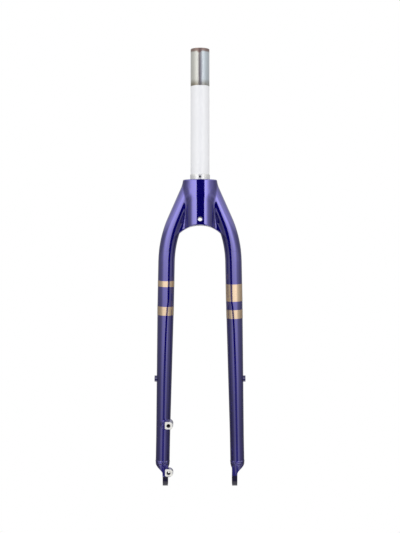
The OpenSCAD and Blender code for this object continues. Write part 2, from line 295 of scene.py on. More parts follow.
@dataclass(frozen=True)
class MachinedFace:
    """A flat bare face of a post with a threaded hole, square to the plane of the legs.

    The bare part is a rounded square whose middle lies a little off the hole, across and up.
    """

    centre: LegPlace
    hole_radius: float = 3.0
    hole_depth: float = 12.0
    middle: Span = (0.65, 0.5)
    half_side: float = 5.9
    corner: float = 2.2
    edge: float = 0.1
    skin: Span = (0.12, 0.04)

    def masks(self, graph: Graph) -> tuple[Socket, Socket, Socket]:
        """Finds the face and the hole on the surface that a material covers.

        Args:
            graph: Graph of the material.

        Returns:
            Share of bare face, share of hole wall, and distance from the hole's axis in metres.
        """
        local = graph.node(NodeKind.MAPPING, {"Vector": graph.place(),
                                              "Location": self.centre.point(),
                                              "Rotation": (LEG_TILT, 0.0, 0.0)},
                           vector_type="TEXTURE")
        depth = graph.parts(local)[1]
        flat = graph.vector("MULTIPLY", local, (1.0, 0.0, 1.0))
        away = graph.vector("LENGTH", flat)
        straight = (self.half_side - self.corner) * MM
        past = graph.vector("SUBTRACT", flat, (self.middle[0] * MM, 0.0, self.middle[1] * MM))
        past = graph.vector("SUBTRACT", graph.vector("ABSOLUTE", past), (straight, 0.0, straight))
        past = graph.vector("LENGTH", graph.vector("MAXIMUM", past))
        start, end = self.skin
        bare = graph.product(graph.edge(depth, start, end),
                             graph.edge(past, self.corner + self.edge, self.corner - self.edge))
        hole = graph.product(
            graph.edge(away, self.hole_radius + start, self.hole_radius + end),
            graph.edge(depth, self.hole_depth, self.hole_depth - 2.0 * self.edge))
        return bare, hole, away


@dataclass
class Layers:
    """Values of a painted surface, which each layer of the paint changes in turn."""

    colour: Value
    metal: Value
    rough: Value
    coat: Value
    normal: Value
    coat_normal: Value


@dataclass(frozen=True)
class VioletPaint:
    """Deep violet metallic paint under a thick clear coat.

    It can carry painted shade all over or below a height, be rippled over a weld, above a height
    where one is given, with painted shade in its hollows, and be missing from machined faces.
    """

    name: str = "violet_paint"
    metal: float = 0.95
    roughness: float = 0.14
    coat: float = 1.0
    coat_roughness: float = 0.045
    coat_index: float = 2.2
    flake_size: float = 0.35
    flake_share: float = 0.2
    peel_size: float = 2.6
    bare: tuple[MachinedFace, ...] = ()
    ring_pitch: float = 0.42
    # Share of painted shade laid over the whole paint.
    painted_shade: float = 0.0
    # Painted shade: its share all over, and the height below which it covers the paint.
    painted_shade_below: float | None = None
    painted_shade_fade: float = 1.6
    ripple: float = 0.0
    ripple_foot: float | None = None
    ripple_fade: float = 10.0

    def build(self) -> Material:
        """Builds the material.

        Returns:
            The material.
        """
        graph = Surface(self.name)
        layers = self.lay_paint(graph)
        if self.painted_shade or self.painted_shade_below is not None:
            self.paint_shade(graph, layers)
        if self.ripple:
            self.roughen(graph, layers)
        for face in self.bare:
            self.leave_bare(graph, layers, face)
        graph.set(Base_Color=layers.colour, Metallic=layers.metal, Roughness=layers.rough,
                  Coat_Weight=layers.coat, Coat_Roughness=self.coat_roughness,
                  Coat_IOR=self.coat_index, Coat_Normal=layers.coat_normal,
                  Normal=layers.normal)
        return graph.material

    def lay_paint(self, graph: Surface) -> Layers:
        """Makes the paint with its flakes, under a coat with a faint orange peel.

        Args:
            graph: Graph of the material.

        Returns:
            The paint's values.
        """
        flakes = graph.node(NodeKind.VORONOI, {"Vector": graph.place(),
                                               "Scale": 1.0 / (self.flake_size * MM)},
                            "Color", feature="F1")
        bright, dull, height = graph.parts(flakes)
        colour = graph.mix(graph.step(graph.noise(16.0, 3.0, 0.55), 0.3, 0.75),
                           Tone.VIOLET, Tone.VIOLET_LIGHT)
        colour = graph.mix(graph.product(graph.step(bright, 0.55, 1.0), self.flake_share),
                           colour, Tone.VIOLET_LIGHT)
        colour = graph.mix(graph.product(graph.step(dull, 0.5, 1.0), self.flake_share),
                           colour, Tone.VIOLET_DARK)
        rough = graph.blend(graph.noise(90.0, 4.0), self.roughness - 0.03, self.roughness + 0.04)
        peel = graph.noise(1.0 / (self.peel_size * MM), 2.0, 0.4)
        return Layers(colour, self.metal, rough, self.coat, graph.bump(height, 0.01, 0.05),
                      graph.bump(peel, 0.02, 0.35))

    def paint_shade(self, graph: Surface, layers: Layers) -> None:
        """Paints shade over the paint all over, or below a height, as a darker colour, metal and
        coat.

        Args:
            graph: Graph of the material.
            layers: Values of the paint, which are changed.
        """
        share: Value = self.painted_shade
        if self.painted_shade_below is not None:
            level = graph.total(graph.parts(graph.place())[2],
                                graph.product(graph.noise(120.0, 3.0), 1.5 * MM))
            # Painted shade below the given height, with a wavering edge.
            share = graph.edge(level, self.painted_shade_below + self.painted_shade_fade, self.painted_shade_below)
        layers.colour = graph.mix(share, layers.colour, Tone.PAINTED_SHADE)
        layers.metal = graph.blend(share, layers.metal, 0.2)
        layers.coat = graph.blend(share, layers.coat, 0.08)

    def roughen(self, graph: Surface, layers: Layers) -> None:
        """Lets the ripples of a weld show through the paint, with painted shade in their hollows.

        Args:
            graph: Graph of the material.
            layers: Values of the paint, which are changed.
        """
        lumps = graph.noise(230.0, 2.0, 0.6, (1.0, 1.0, 0.6))
        share: Value = 1.0
        if self.ripple_foot is not None:
            share = graph.edge(graph.parts(graph.place())[2], self.ripple_foot,
                               self.ripple_foot + self.ripple_fade)
        # The low spots of the ripples are darkened: painted shade in their hollows.
        low = graph.product(graph.step(lumps, 0.50, 0.36), share)
        layers.colour = graph.mix(low, layers.colour, Tone.VIOLET_DARK)
        layers.normal = layers.coat_normal = graph.bump(lumps, self.ripple, share)

    def leave_bare(self, graph: Surface, layers: Layers, face: MachinedFace) -> None:
        """Shows the turned metal of a machined face, and the dark wall of its hole.

        Args:
            graph: Graph of the material.
            layers: Values of the paint, which are changed.
            face: The face.
        """
        bare, hole, away = face.masks(graph)
        rings = graph.math("SINE", graph.product(away, 2.0 * math.pi / (self.ring_pitch * MM)))
        turned = graph.mix(graph.step(rings, -1.0, 1.0), Tone.POST_FACE, Tone.POST_RINGS)
        layers.colour = graph.mix(hole, graph.mix(bare, layers.colour, turned), Tone.SHADOW)
        shown = graph.math("MAXIMUM", bare, hole)
        layers.metal = graph.blend(shown, layers.metal, 0.15)
        layers.coat = graph.blend(shown, layers.coat, 0.0)
        layers.rough = graph.blend(shown, layers.rough, 0.42)


@dataclass(frozen=True)
class SteererFinish:
    """Bare turned steel at the top, a white coat below it, and a polished seat at the foot.

    Heights are above the crown's top face. The tube's seam runs down its rear.
    """

    name: str = "steerer_finish"
    top: float = 198.5
    coat_top: float = 141.8
    coat_edge: float = 0.35
    seat_top: float = 8.0
    seat_edge: float = 0.1
    bore: float = 13.4
    bore_edge: float = 0.3
    wander: float = 2.2
    seam_x: float = -0.6
    seam_half: Span = (2.1, 0.5)
    drip_half: Span = (4.5, 0.5)
    drip: float = 2.5
    rim: Span = (6.6, 3.6)
    stain: Span = (11.0, 1.0)

    def build(self) -> Material:
        """Builds the material.

        Returns:
            The material.
        """
        graph = Surface(self.name)
        place = graph.place()
        height = graph.parts(place)[2]
        wander = graph.drift(70.0, 2.0, self.wander)
        level = graph.total(height, wander)
        radius = graph.vector("LENGTH", graph.vector("MULTIPLY", place, (1.0, 1.0, 0.0)))
        coated = graph.product(
            graph.edge(level, self.coat_top + self.coat_edge, self.coat_top - self.coat_edge),
            graph.edge(height, self.seat_top, self.seat_top + self.seat_edge),
            graph.edge(radius, self.bore, self.bore + self.bore_edge))
        brushed = graph.noise(220.0, 5.0, 0.6, (1.0, 1.0, 9.0))
        steel = graph.mix(graph.step(brushed, 0.25, 0.8), Tone.STEEL, Tone.STEEL_COOL)
        steel = self.tint(graph, place, wander, steel)
        steel = self.blot(graph, height, level, steel)
        seat = graph.edge(height, self.seat_top + self.seat_edge, self.seat_top)
        steel = graph.mix(seat, steel, Tone.GROUND)
        rough = graph.blend(seat, graph.blend(brushed, 0.26, 0.40),
                            graph.blend(graph.noise(160.0, 4.0), 0.26, 0.36))
        grey = graph.product(graph.step(graph.noise(26.0, 4.0), 0.35, 0.8), 0.12)
        white = graph.mix(grey, Tone.WHITE_COAT, Tone.GREY_COAT)
        graph.set(Base_Color=graph.mix(coated, steel, white),
                  Metallic=graph.blend(coated, graph.blend(seat, 0.7, 0.4), 0.0),
                  Roughness=graph.blend(coated, rough, 0.34),
                  Normal=graph.bump(brushed, 0.03, 0.25))
        return graph.material

    def tint(self, graph: Surface, place: Socket, wander: Value, steel: Socket) -> Socket:
        """Tints the steel with oxide, along the seam and below the rim.

        Args:
            graph: Graph of the material.
            place: Surface point.
            wander: Height by which the tints' edges wander.
            steel: Colour of the steel.

        Returns:
            The tinted colour.
        """
        x, y, height = graph.parts(place)
        rear = graph.edge(y, -2.0, -7.0)
        oxide = graph.mix(graph.edge(x, -1.0, 6.0), Tone.WARM_OXIDE, Tone.COOL_OXIDE)
        steel = graph.mix(graph.product(rear, 0.55), steel, oxide)
        off = graph.math("ABSOLUTE", graph.total(x, -self.seam_x * MM,
                                                 graph.drift(30.0, 3.0, 1.6)))
        seam = graph.product(graph.edge(off, *self.seam_half), rear, 0.6)
        steel = graph.mix(seam, steel, Tone.SEAM_BROWN)
        drips = graph.product(graph.edge(off, *self.drip_half), self.drip * MM)
        below, above = self.rim
        rim = graph.edge(graph.total(height, drips, graph.product(wander, 1.1)),
                         self.top - below, self.top - above)
        return graph.mix(graph.product(rim, 0.88), steel, Tone.HEAT_BROWN)

    def blot(self, graph: Surface, height: Socket, level: Value, steel: Socket) -> Socket:
        """Stains the steel just above the white coat.

        Args:
            graph: Graph of the material.
            height: Height of the surface point.
            level: Height with its wandering.
            steel: Colour of the steel.

        Returns:
            The stained colour.
        """
        start, end = self.stain
        stain = graph.product(graph.edge(level, self.coat_top + start, self.coat_top + end),
                              graph.step(graph.noise(55.0, 4.0), 0.2, 0.55),
                              graph.edge(height, self.coat_top - 2.0, self.coat_top + 1.0), 0.85)
        return graph.mix(stain, steel, Tone.STAIN)


@dataclass(frozen=True)
class BandFilm:
    """Satin rose-gold film of the blade bands."""

    name: str = "band_film"
    metal: float = 0.9
    roughness: Span = (0.10, 0.18)
    coat: float = 0.8
    coat_roughness: float = 0.05
    coat_index: float = 2.4

    def build(self) -> Material:
        """Builds the material.

        Returns:
            The material.
        """
        graph = Surface(self.name)
        grain = graph.noise(900.0, 3.0, 0.6)
        worn = graph.product(graph.step(graph.noise(60.0, 4.0), 0.6, 0.85), 0.25)
        colour = graph.mix(graph.step(grain, 0.3, 0.8), Tone.BAND, Tone.BAND_BRIGHT)
        graph.set(Base_Color=graph.mix(worn, colour, Tone.BAND_WORN), Metallic=self.metal,
                  Roughness=graph.blend(grain, *self.roughness), Coat_Weight=self.coat,
                  Coat_Roughness=self.coat_roughness, Coat_IOR=self.coat_index,
                  Normal=graph.bump(grain, 0.01, 0.1))
        return graph.material


@dataclass(frozen=True)
class ThreadSteel:
    """Dark oiled steel of the cut threads."""

    name: str = "thread_steel"
    metal: float = 0.9
    roughness: Span = (0.3, 0.5)

    def build(self) -> Material:
        """Builds the material.

        Returns:
            The material.
        """
        graph = Surface(self.name)
        grain = graph.noise(700.0, 3.0, 0.6)
        graph.set(Base_Color=graph.mix(grain, Tone.THREAD_DARK, Tone.THREAD_LIGHT),
                  Metallic=self.metal, Roughness=graph.blend(grain, *self.roughness),
                  Normal=graph.bump(grain, 0.01, 0.2))
        return graph.material


@dataclass
class Dresser:
    """Keeps the materials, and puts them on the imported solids."""

    materials: dict[str, Material] = field(default_factory=dict)

    def material(self, finish: Finish) -> Material:
        """Builds a finish's material, where that isn't done yet.

        Args:
            finish: The finish.

        Returns:
            The material.
        """
        if finish.name not in self.materials:
            self.materials[finish.name] = finish.build()
        return self.materials[finish.name]

    def dress(self, finish: Finish, *names: str) -> None:
        """Puts one finish on some solids.

        Args:
            finish: The finish.
            *names: Names of the solids.
        """
        material = self.material(finish)
        for name in names:
            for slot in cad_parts[name].material_slots:
                slot.material = material
            LOG.info("%s wears %s", name, finish.name)


def finished_mesh(piece: Object) -> None:
    """Applies a piece's modifiers.

    Args:
        piece: Object whose modifiers are applied and cleared.
    """
    depsgraph = bpy.context.evaluated_depsgraph_get()
    mesh = bpy.data.meshes.new_from_object(piece.evaluated_get(depsgraph))
    piece.modifiers.clear()
    old = piece.data
    piece.data = mesh
    bpy.data.meshes.remove(old)


def piece_from(name: str, form: BMesh) -> Object:
    """Makes an object of a bmesh, at the origin.

    Args:
        name: Name of the object.
        form: The bmesh, which is freed.

    Returns:
        The new object.
    """
    mesh = bpy.data.meshes.new(name)
    form.to_mesh(mesh)
    form.free()
    piece = bpy.data.objects.new(name, mesh)
    bpy.context.scene.collection.objects.link(piece)
    return piece


def new_parts(grown: dict, kind: type) -> list:
    """Returns the vertices, edges or faces that an extrusion made."""
    return [part for part in grown["geom"] if isinstance(part, kind)]


def close(form: BMesh) -> None:
    """Fills the holes of a form and turns its faces outwards."""
    bmesh.ops.holes_fill(form, edges=[e for e in form.edges if e.is_boundary])
    bmesh.ops.recalc_face_normals(form, faces=form.faces[:])


def smooth_min(first: np.ndarray, second: np.ndarray, width: np.ndarray | float) -> np.ndarray:
    """Returns the lower of two fields, rounded over a width where they meet."""
    share = np.maximum(width - np.abs(first - second), 0.0) / width
    return np.minimum(first, second) - share * share * width / 4.0


def smooth_max(first: np.ndarray, second: np.ndarray, width: float) -> np.ndarray:
    """Returns the higher of two fields, rounded over a width where they meet."""
    return -smooth_min(-first, -second, width)


def rise(value: np.ndarray, start: float, end: float) -> np.ndarray:
    """Returns a smooth rise from 0 to 1 as value goes from start to end."""
    share = np.clip((value - start) / (end - start), 0.0, 1.0)
    return share * share * (3.0 - 2.0 * share)


@dataclass(frozen=True)
class BladePath:
    """Centre line of the right blade in the plane of the legs: a shoulder, a bend, a leg."""

    end_x: float = 58.2
    end_z: float = -436.5
    splay: float = math.radians(1.28)
    shoulder: float = math.radians(24.0)
    bend_radius: float = 164.0
    bend_end_z: float = -124.6
    tube_radius: float = 12.7

    def bend_end(self) -> Span:
        """Returns the lower end of the bend, as X and Z."""
        return (self.end_x - (self.bend_end_z - self.end_z) * math.tan(self.splay),
                self.bend_end_z)

    def bend_centre(self) -> Span:
        """Returns the point that the bend turns about, as X and Z."""
        x, z = self.bend_end()
        return (x - self.bend_radius * math.cos(self.splay),
                z - self.bend_radius * math.sin(self.splay))

    def bend_start(self) -> Span:
        """Returns the upper end of the bend, as X and Z."""
        x, z = self.bend_centre()
        return (x + self.bend_radius * math.cos(self.shoulder),
                z + self.bend_radius * math.sin(self.shoulder))

    def outward(self, x: np.ndarray, z: np.ndarray) -> np.ndarray:
        """Finds how far points lie outwards of the centre line.

        Args:
            x: Distances from the middle plane.
            z: Heights in the plane of the legs.

        Returns:
            Signed distances from the centre line.
        """
        centre, start, end = self.bend_centre(), self.bend_start(), self.bend_end()
        turn = np.arctan2(z - centre[1], x - centre[0])
        arc = np.hypot(x - centre[0], z - centre[1]) - self.bend_radius
        upper = ((x - start[0]) * math.cos(self.shoulder)
                 + (z - start[1]) * math.sin(self.shoulder))
        lower = (x - end[0]) * math.cos(self.splay) + (z - end[1]) * math.sin(self.splay)
        return np.where(turn > self.shoulder, upper, np.where(turn < self.splay, lower, arc))


@dataclass
class CrownCasting:
    """Crown body, blended into the tops of the blades as one smooth brazed form.

    Heights are from the crown's top face. The form is the zero surface of a field of distances,
    on which a rough mesh of the same solids is settled. The blend of body and blade is wide on
    the front and rear faces near the top, and narrows to a crease where the two turn apart. In
    the rough mesh, one block through the body stands for both webs. Each pass has the voxel of
    its mesh, and how far that is evened before each settling.
    """

    half_width: float = 25.75
    waist: float = 21.5
    waist_span: Span = (5.0, 34.0)
    half_depth: float = 19.0
    face_radius: float = 35.0
    side_round: float = 2.5
    top_round: float = 1.6
    bore: float = 14.3
    arch_top: float = -69.0
    arch_radius: float = 46.0
    arch_round: float = 1.8
    bolt_height: float = -60.0
    bolt_radius: float = 3.25
    bolt_round: float = 0.9
    web_half: float = 8.0
    web_top: float = -30.8
    web_round: float = 2.0
    skin: float = 0.05
    foot: float = -108.0
    blend: float = 13.0
    crease: float = 3.6
    turn_span: Span = (0.70, 0.95)
    depth_span: Span = (2.0, 9.0)
    side_span: Span = (5.0, 17.0)
    height_span: Span = (8.0, 42.0)
    shoulder_length: float = 42.0
    block_size: Span = (64.0, 58.0)
    block_y: float = -4.0
    block_drop: float = 31.0
    bar_length: float = 90.0
    bore_length: float = 240.0
    lid: float = 60.0
    rough_voxel: float = 1.6
    passes: tuple[tuple[float, Row], ...] = ((1.7 * 0.72, (0.5, 0.5, 0.0)),
                                             (0.72, (0.5, 0.5, 0.4, 0.0)))
    path: BladePath = BladePath()

    def field(self, points: np.ndarray) -> np.ndarray:
        """Finds how far points lie outside the form.

        Args:
            points: Points as rows of x, y and z.

        Returns:
            Distances from the surface, less than 0 inside.
        """
        x, y, z = np.abs(points[:, 0]), points[:, 1], points[:, 2]
        cosine, sine = math.cos(LEG_TILT), math.sin(LEG_TILT)
        leg_y, leg_z = y * cosine + z * sine, z * cosine - y * sine
        outward = self.path.outward(x, leg_z)
        shift = self.face_radius - self.half_depth
        across, around = np.hypot(x, np.abs(y) + shift), np.hypot(outward, leg_y)
        side = self.half_width + (self.waist - self.half_width) * rise(-z, *self.waist_span)
        column = smooth_max(across - self.face_radius, np.hypot(x, y) - side, self.side_round)
        blade = around - self.path.tube_radius - self.skin
        along = (x * outward * math.cos(self.path.shoulder)
                 + (np.abs(y) + shift) * np.abs(leg_y))
        along = along / (np.maximum(across, 1e-6) * np.maximum(around, 1e-6))
        wide = (rise(np.abs(leg_y), *self.depth_span) * (1.0 - rise(along, *self.turn_span))
                * rise(x, *self.side_span) * (1.0 - rise(-z, *self.height_span)))
        body = smooth_min(column, blade, self.crease + (self.blend - self.crease) * wide)
        web = smooth_max(np.abs(leg_y) - self.web_half,
                         smooth_max(outward, leg_z - self.web_top, self.web_round),
                         self.web_round)
        body = smooth_min(body, web, self.crease)
        arch = self.arch_radius - np.hypot(x, z - self.arch_top + self.arch_radius)
        body = smooth_max(smooth_max(body, arch, self.arch_round), z, self.top_round)
        bolt = self.bolt_radius - np.hypot(x, z - self.bolt_height)
        return np.maximum(smooth_max(body, bolt, self.bolt_round), self.bore - np.hypot(x, y))

    def settle(self, points: np.ndarray, rounds: int = 6, reach: float = 0.02,
               longest: float = 1.2) -> np.ndarray:
        """Moves points onto the surface.

        Args:
            points: Points as rows of x, y and z.
            rounds: Number of corrections.
            reach: Distance over which the field's slope is read.
            longest: Longest move in one correction.

        Returns:
            The moved points.
        """
        for _ in range(rounds):
            away = self.field(points)
            slope = np.stack([(self.field(points + step) - self.field(points - step))
                              / (2.0 * reach) for step in np.eye(3) * reach], axis=1)
            size = np.maximum((slope * slope).sum(axis=1), 0.05)
            move = slope * (away / size)[:, None]
            length = np.maximum(np.linalg.norm(move, axis=1), 1e-9)
            points = points - move * np.minimum(1.0, longest / length)[:, None]
        return points

    def add_blade_top(self, form: BMesh, side: float) -> None:
        """Adds the shoulder and bend of a blade.

        Args:
            form: The bmesh.
            side: 1 for the right blade and -1 for the left.
        """
        start, centre = self.path.bend_start(), self.path.bend_centre()
        place = (LEG_TURN @ Matrix.Translation((side * start[0], 0.0, start[1]))
                 @ Matrix.Rotation(-side * self.path.shoulder, 4, "Y"))
        ring = bmesh.ops.create_circle(form, cap_ends=True, segments=64,
                                       radius=self.path.tube_radius, matrix=place)["verts"]
        faces = list(dict.fromkeys(face for vert in ring for face in vert.link_faces))
        grown = bmesh.ops.extrude_face_region(form, geom=faces)
        bmesh.ops.translate(form, vec=place.to_3x3() @ Vector((0.0, 0.0, self.shoulder_length)),
                            verts=new_parts(grown, BMVert))
        low = [vert for vert in ring if vert.is_valid]
        rim = list(dict.fromkeys(edge for vert in low for edge in vert.link_edges
                                 if all(end in low for end in edge.verts)))
        bmesh.ops.spin(form, geom=rim, cent=LEG_TURN @ Vector((side * centre[0], 0.0, centre[1])),
                       axis=LEG_TURN @ Vector((0.0, side, 0.0)),
                       angle=self.path.shoulder - self.path.splay, steps=28)

    def rough_form(self) -> Object:
        """Makes the column, webs and blade tops as rough overlapping solids.

        Returns:
            The rough piece, in millimetres.
        """
        form = bmesh.new()
        ring = bmesh.ops.create_circle(form, cap_ends=True, segments=96, radius=1.0)["verts"]
        bmesh.ops.scale(form, vec=(self.half_width, self.half_depth, 1.0), verts=ring)
        grown = bmesh.ops.extrude_face_region(form, geom=form.faces[:])
        bmesh.ops.translate(form, vec=(0.0, 0.0, self.arch_top - self.arch_radius / 3.0),
                            verts=new_parts(grown, BMVert))
        for side in (1.0, -1.0):
            self.add_blade_top(form, side)
        width, height = self.block_size
        block = bmesh.ops.create_cube(form, size=1.0)["verts"]
        bmesh.ops.scale(form, vec=(width, 2.0 * self.web_half, height), verts=block)
        bmesh.ops.translate(form, vec=(0.0, self.block_y, self.web_top - self.block_drop),
                            verts=block)
        close(form)
        return piece_from("crown_casting", form)

    def cutters(self) -> list[Object]:
        """Makes round bars that cut the arch, the bolt hole, the bore and the flat top.

        Returns:
            The bars.
        """
        upright, across = Matrix.Identity(4), Matrix.Rotation(math.pi / 2.0, 4, "X")
        arch_z, through = self.arch_top - self.arch_radius, self.bar_length
        bars = []
        for name, radius, length, height, turn in (
                ("arch_bar", self.arch_radius, through, arch_z, across),
                ("bolt_bar", self.bolt_radius, through, self.bolt_height, across),
                ("bore_bar", self.bore, self.bore_length, 0.0, upright),
                ("top_bar", self.lid, self.lid, 0.5 * self.lid, upright)):
            form = bmesh.new()
            place = Matrix.Translation((0.0, 0.0, height)) @ turn
            bmesh.ops.create_cone(form, cap_ends=True, segments=96, radius1=radius,
                                  radius2=radius, depth=length, matrix=place)
            bars.append(piece_from(name, form))
        return bars

    def remesh(self, piece: Object, size: float) -> None:
        """Joins what overlaps in a piece into one even mesh.

        Args:
            piece: Piece that is changed.
            size: Width of the even faces.
        """
        even = piece.modifiers.new("even", "REMESH")
        even.mode, even.voxel_size = "VOXEL", size
        finished_mesh(piece)

    def shape(self, piece: Object, evening: Row) -> None:
        """Settles a piece's mesh on the form's surface.

        Args:
            piece: Piece that is changed.
            evening: How far the mesh is evened before each settling, from 0 to 1.
        """
        form = bmesh.new()
        form.from_mesh(piece.data)
        for factor in evening:
            if factor:
                bmesh.ops.smooth_vert(form, verts=form.verts, factor=factor,
                                      use_axis_x=True, use_axis_y=True, use_axis_z=True)
            points = self.settle(np.array([v.co for v in form.verts], dtype=float))
            for vert, point in zip(form.verts, points):
                vert.co = point
        form.to_mesh(piece.data)
        form.free()

    def trim(self, piece: Object) -> None:
        """Cuts the blade tops off square at the foot, and turns millimetres to metres.

        Args:
            piece: Piece that is changed.
        """
        form = bmesh.new()
        form.from_mesh(piece.data)
        up = LEG_TURN @ Vector((0.0, 0.0, 1.0))
        bmesh.ops.bisect_plane(form, geom=form.verts[:] + form.edges[:] + form.faces[:],
                               plane_co=up * self.foot, plane_no=up, clear_inner=True)
        close(form)
        bmesh.ops.scale(form, vec=(MM, MM, MM), verts=form.verts[:])
        form.to_mesh(piece.data)
        form.free()

    def build(self, material: Material) -> None:
        """Makes the piece, which stands for the crown and its fillets.

        Args:
            material: Material of the piece.
        """
        piece = self.rough_form()
        self.remesh(piece, self.rough_voxel)
        bars = self.cutters()
        for bar in bars:
            cut = piece.modifiers.new("cut", "BOOLEAN")
            cut.operation, cut.solver, cut.object = "DIFFERENCE", "EXACT", bar
        finished_mesh(piece)
        for bar in bars:
            bpy.data.objects.remove(bar)
        for voxel, evening in self.passes:
            self.remesh(piece, voxel)
            self.shape(piece, evening)
        self.trim(piece)
        piece.data.materials.clear()
        piece.data.materials.append(material)
        piece.data.shade_smooth()
        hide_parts("crown", "left_crown_fillet", "right_crown_fillet")
        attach(piece, "root")
        LOG.info("%s has %d faces", piece.name, len(piece.data.polygons))


@dataclass(frozen=True)
class Thread:
    """Rings of a thread inside a bolt hole.

    The shares say how far the crest stands in, and where its flat starts and ends, as shares
    of the pitch. The root lies a gap inside the hole's wall, and dips in between two turns.
    """

    radius: float
    pitch: float
    length: float
    crest_share: float = 0.54
    flat_share: Span = (0.44, 0.56)
    gap: float = 0.03
    dip: float = 0.04
    tail: float = 0.02

    def outline(self) -> list[Span]:
        """Finds the closed outline that is spun.

        Returns:
            Radii and depths of its corners.
        """
        crest, root = self.radius - self.crest_share * self.pitch, self.radius - self.gap
        count = int(self.length / self.pitch)
        start = 0.5 * (self.length - count * self.pitch)
        flat_start, flat_end = self.flat_share
        corners = [(root, start)]
        for turn in range(count):
            low = start + turn * self.pitch
            corners += [(crest, low + flat_start * self.pitch),
                        (crest, low + flat_end * self.pitch),
                        (root - self.dip, low + self.pitch)]
        corners.append((root, start + count * self.pitch + self.tail))
        return corners

    def build(self, name: str, place: Matrix, material: Material) -> None:
        """Makes the thread.

        Args:
            name: Name of the piece.
            place: Place of the hole's mouth, with Z into the hole.
            material: Material of the piece.
        """
        form = bmesh.new()
        ring = [form.verts.new((along * MM, 0.0, deep * MM)) for along, deep in self.outline()]
        edges = [form.edges.new(ends) for ends in zip(ring, ring[1:] + ring[:1])]
        bmesh.ops.spin(form, geom=ring + edges, cent=(0.0, 0.0, 0.0), axis=(0.0, 0.0, 1.0),
                       angle=2.0 * math.pi, steps=40, use_merge=True)
        bmesh.ops.remove_doubles(form, verts=form.verts[:], dist=1e-7)
        bmesh.ops.transform(form, matrix=place, verts=form.verts[:])
        bmesh.ops.recalc_face_normals(form, faces=form.faces[:])
        piece = piece_from(name, form)
        piece.data.materials.append(material)
        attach(piece, "root")
        LOG.info("%s has %d faces", piece.name, len(piece.data.polygons))


@dataclass
class Steerer:
    """Steerer tube with its bare top, white coat and polished race seat."""

    dresser: Dresser
    finish: SteererFinish = SteererFinish()

    def build(self) -> None:
        """Dresses the tube."""
        self.dresser.dress(self.finish, "steerer_tube")


@dataclass
class CrownAndBlades:
    """Painted crown, blades and the fillets between them."""

    dresser: Dresser
    paint: VioletPaint = VioletPaint()

    def build(self) -> None:
        """Dresses the blades and builds the crown over their tops."""
        self.dresser.dress(self.paint, "left_blade", "right_blade")
        CrownCasting().build(self.dresser.material(self.paint))


@dataclass
class ForkEnds:
    """Cast fork ends, their weld beads and the brake posts on the left."""

    dresser: Dresser
    lower_post: LegPlace = LegPlace(-48.6, -21.0, -450.4)
    upper_post: LegPlace = LegPlace(-48.6, -21.0, -376.2)
    # Height below which the fork ends carry painted shade.
    painted_shade_top: float = -456.0
    weld_foot: float = -449.0
    cast_ripple: float = 1.3
    weld_ripple: float = 1.5
    thread: Thread = Thread(3.0, 1.0, 10.9)

    def build(self) -> None:
        """Dresses the fork ends, beads and posts."""
        dresser = self.dresser
        dresser.dress(VioletPaint("bead_paint", roughness=0.3, ripple=self.weld_ripple),
                      "left_fork_end_weld", "right_fork_end_weld")
        dresser.dress(self.end_paint("tip_paint"), "right_fork_end")
        dresser.dress(self.end_paint("lower_post_paint", MachinedFace(self.lower_post)),
                      "left_fork_end")
        dresser.dress(VioletPaint("upper_post_paint", bare=(MachinedFace(self.upper_post),),
                                  ripple=self.weld_ripple), "upper_brake_post")
        for name, place in (("upper_post_thread", self.upper_post),
                            ("lower_post_thread", self.lower_post)):
            self.thread.build(name, Matrix.Translation(place.point())
                              @ Matrix.Rotation(LEG_TILT - math.pi / 2.0, 4, "X"),
                              dresser.material(ThreadSteel()))

    def end_paint(self, name: str, *bare: MachinedFace) -> VioletPaint:
        """Returns the paint of a fork end, with painted shade at its tip and ripples near its
        weld.
        """
        return VioletPaint(name, bare=bare, painted_shade_below=self.painted_shade_top, ripple=self.cast_ripple,
                           ripple_foot=self.weld_foot)


@dataclass
class SideFittings:
    """Rack bosses on the outer sides, and the coloured bands of the blades."""

    dresser: Dresser
    boss_face: Point = (70.258, 30.32, -304.997)
    thread: Thread = Thread(2.5, 0.8, 9.2)

    def build(self) -> None:
        """Dresses the bosses and bands."""
        # The bosses' paint carries painted shade all over.
        self.dresser.dress(VioletPaint("shaded_boss_paint", painted_shade=0.8), "left_rack_boss",
                           "right_rack_boss")
        x, y, z = self.boss_face
        for name, side in (("left_boss_thread", -1.0), ("right_boss_thread", 1.0)):
            self.thread.build(name, Matrix.Translation(Vector((side * x, y, z)) * MM)
                              @ Matrix.Rotation(-side * math.pi / 2.0, 4, "Y"),
                              self.dresser.material(ThreadSteel()))
        self.dresser.dress(BandFilm(), "left_upper_band", "left_lower_band",
                           "right_upper_band", "right_lower_band")


@dataclass(frozen=True)
class Panel:
    """A large soft lamp that faces the fork, with sizes in metres.

    Its azimuth is in degrees round from the camera's side.
    """

    name: str
    azimuth: float
    distance: float = 1.9
    height: float = 0.25
    width: float = 1.0
    tall: float = 1.6
    radiance: float = 1.55
    aim_height: float = -0.15

    def build(self) -> None:
        """Makes the lamp."""
        turn = math.radians(self.azimuth)
        lamp = bpy.data.lights.new(self.name, "AREA")
        lamp.shape = "RECTANGLE"
        lamp.size, lamp.size_y = self.width, self.tall
        lamp.energy = self.radiance * math.pi * self.width * self.tall
        stand = bpy.data.objects.new(self.name, lamp)
        stand.location = (math.sin(turn) * self.distance, -math.cos(turn) * self.distance,
                          self.height)
        aim = Vector((0.0, 0.0, self.aim_height)) - stand.location
        stand.rotation_euler = aim.to_track_quat("-Z", "Y").to_euler()
        stand.visible_camera = False
        stand.visible_glossy = False
        bpy.context.scene.collection.objects.link(stand)


